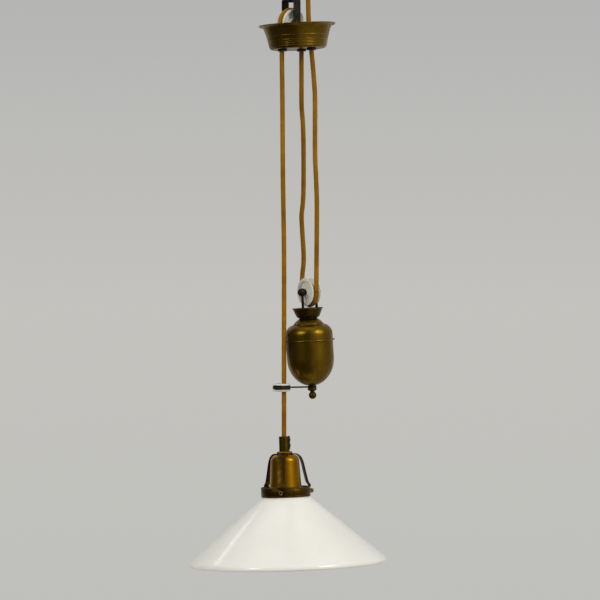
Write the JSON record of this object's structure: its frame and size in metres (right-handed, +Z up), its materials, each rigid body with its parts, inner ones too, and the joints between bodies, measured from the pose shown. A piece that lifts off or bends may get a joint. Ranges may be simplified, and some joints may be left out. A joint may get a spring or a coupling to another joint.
{
  "type": "rise and fall pendant",
  "caption": "Rise and fall pendant light: an opal glass cone shade and an egg-shaped counterweight hang on a silk cord over porcelain pulleys, under a flared ceiling cup.",
  "frame": {"origin": "middle of the hanger eye that goes over the ceiling hook", "axes": "+Z up, +X to the right in the pictured view, -Y towards the viewer"},
  "size_m": [0.25, 0.2498, 0.7471],
  "materials": {
    "black_iron": "blackened wrought iron, worn at the edges",
    "porcelain": "glossy glaze, slightly yellowed",
    "black_glazed_bush": "black glaze",
    "silk_cord": "braided silk, gold",
    "patinated_brass": "dark olive-brown patina",
    "gallery_brass": "brown patina, brighter on the edges",
    "polished_brass": "old lacquered polish",
    "weight_iron": "rough casting",
    "opal_glass": "opal white, glossy outside"
  },
  "bodies": {
    "root": {"hanger_eye": "black_iron", "pulley_bracket": "black_iron", "top_axle": "black_iron", "top_axle_nuts": "black_iron", "top_spacers": "black_iron", "supply_terminal": "porcelain", "terminal_screws": "polished_brass", "supply_strand": "silk_cord", "middle_strand": "silk_cord", "lamp_strand": "silk_cord", "top_wrap": "silk_cord"},
    "top_pulley": {"top_pulley": "porcelain"},
    "cup": {"ceiling_cup": "patinated_brass", "lamp_bush": "black_glazed_bush", "weight_bush": "black_glazed_bush", "supply_bush": "black_glazed_bush", "bush_nuts": "patinated_brass"},
    "counterweight": {"weight_fork": "black_iron", "weight_axle": "black_iron", "weight_axle_nut": "black_iron", "weight_spacers": "black_iron", "weight_wrap": "silk_cord", "neck_cup": "patinated_brass", "rod_nuts": "black_iron", "collar_ring": "patinated_brass", "upper_shell": "patinated_brass", "seam_ring": "patinated_brass", "lower_shell": "patinated_brass", "iron_core": "weight_iron", "weight_rod": "black_iron", "guide_arm": "black_iron", "guide_eyelet": "porcelain", "finial": "patinated_brass"},
    "weight_pulley": {"weight_pulley": "porcelain"},
    "lamp": {"cord_grip": "polished_brass", "grip_screws": "black_iron", "nipple": "polished_brass", "flange_nut": "polished_brass", "holder_body": "polished_brass", "cord_end": "silk_cord", "socket_insert": "porcelain", "screw_shell": "polished_brass", "centre_contact": "polished_brass", "terminal_clamps": "polished_brass", "skirt_ring": "polished_brass", "gallery_frame": "gallery_brass", "gallery_ring": "gallery_brass", "shade": "opal_glass"},
    "front_screw": {"front_screw": "gallery_brass"},
    "right_screw": {"right_screw": "gallery_brass"},
    "back_screw": {"back_screw": "gallery_brass"}
  },
  "joints": [
    {"name": "lamp_slide", "type": "slide", "parent": "root", "child": "lamp", "axis": [0, 0, 1], "range_m": [-0.5, 0.035], "deforming": ["supply_strand", "middle_strand", "lamp_strand"]},
    {"name": "weight_slide", "type": "slide", "parent": "root", "child": "counterweight", "axis": [0, 0, 1], "range_m": [-0.0176, 0.2502], "deforming": ["supply_strand", "middle_strand"]},
    {"name": "top_pulley_spin", "type": "hinge", "parent": "root", "child": "top_pulley", "pos_m": [0, 0, -0.0445], "axis": [0.6361, -0.7716, 0], "continuous": true},
    {"name": "weight_pulley_spin", "type": "hinge", "parent": "counterweight", "child": "weight_pulley", "pos_m": [0.02273, 0.0015, -0.38476], "axis": [-0.8277, -0.5592, -0.0477], "continuous": true},
    {"name": "cup_slide", "type": "slide", "parent": "root", "child": "cup", "axis": [0, 0, 1], "range_m": [-0.03, 0.01], "deforming": ["supply_strand", "middle_strand", "lamp_strand"]},
    {"name": "front_screw_out", "type": "slide", "parent": "lamp", "child": "front_screw", "axis": [-0.1749, -0.9839, 0.0358], "range_m": [0, 0.004]},
    {"name": "right_screw_out", "type": "slide", "parent": "lamp", "child": "right_screw", "axis": [0.9397, 0.3417, 0.0152], "range_m": [0, 0.004]},
    {"name": "back_screw_out", "type": "slide", "parent": "lamp", "child": "back_screw", "axis": [-0.7648, 0.6422, -0.051], "range_m": [0, 0.004]}
  ],
  "couplings": [
    {"joint": "weight_slide", "follows": "lamp_slide", "ratio": -0.5},
    {"joint": "top_pulley_spin", "follows": "lamp_slide", "rad_per_m": -57.143},
    {"joint": "weight_pulley_spin", "follows": "lamp_slide", "rad_per_m": 30.303}
  ]
}
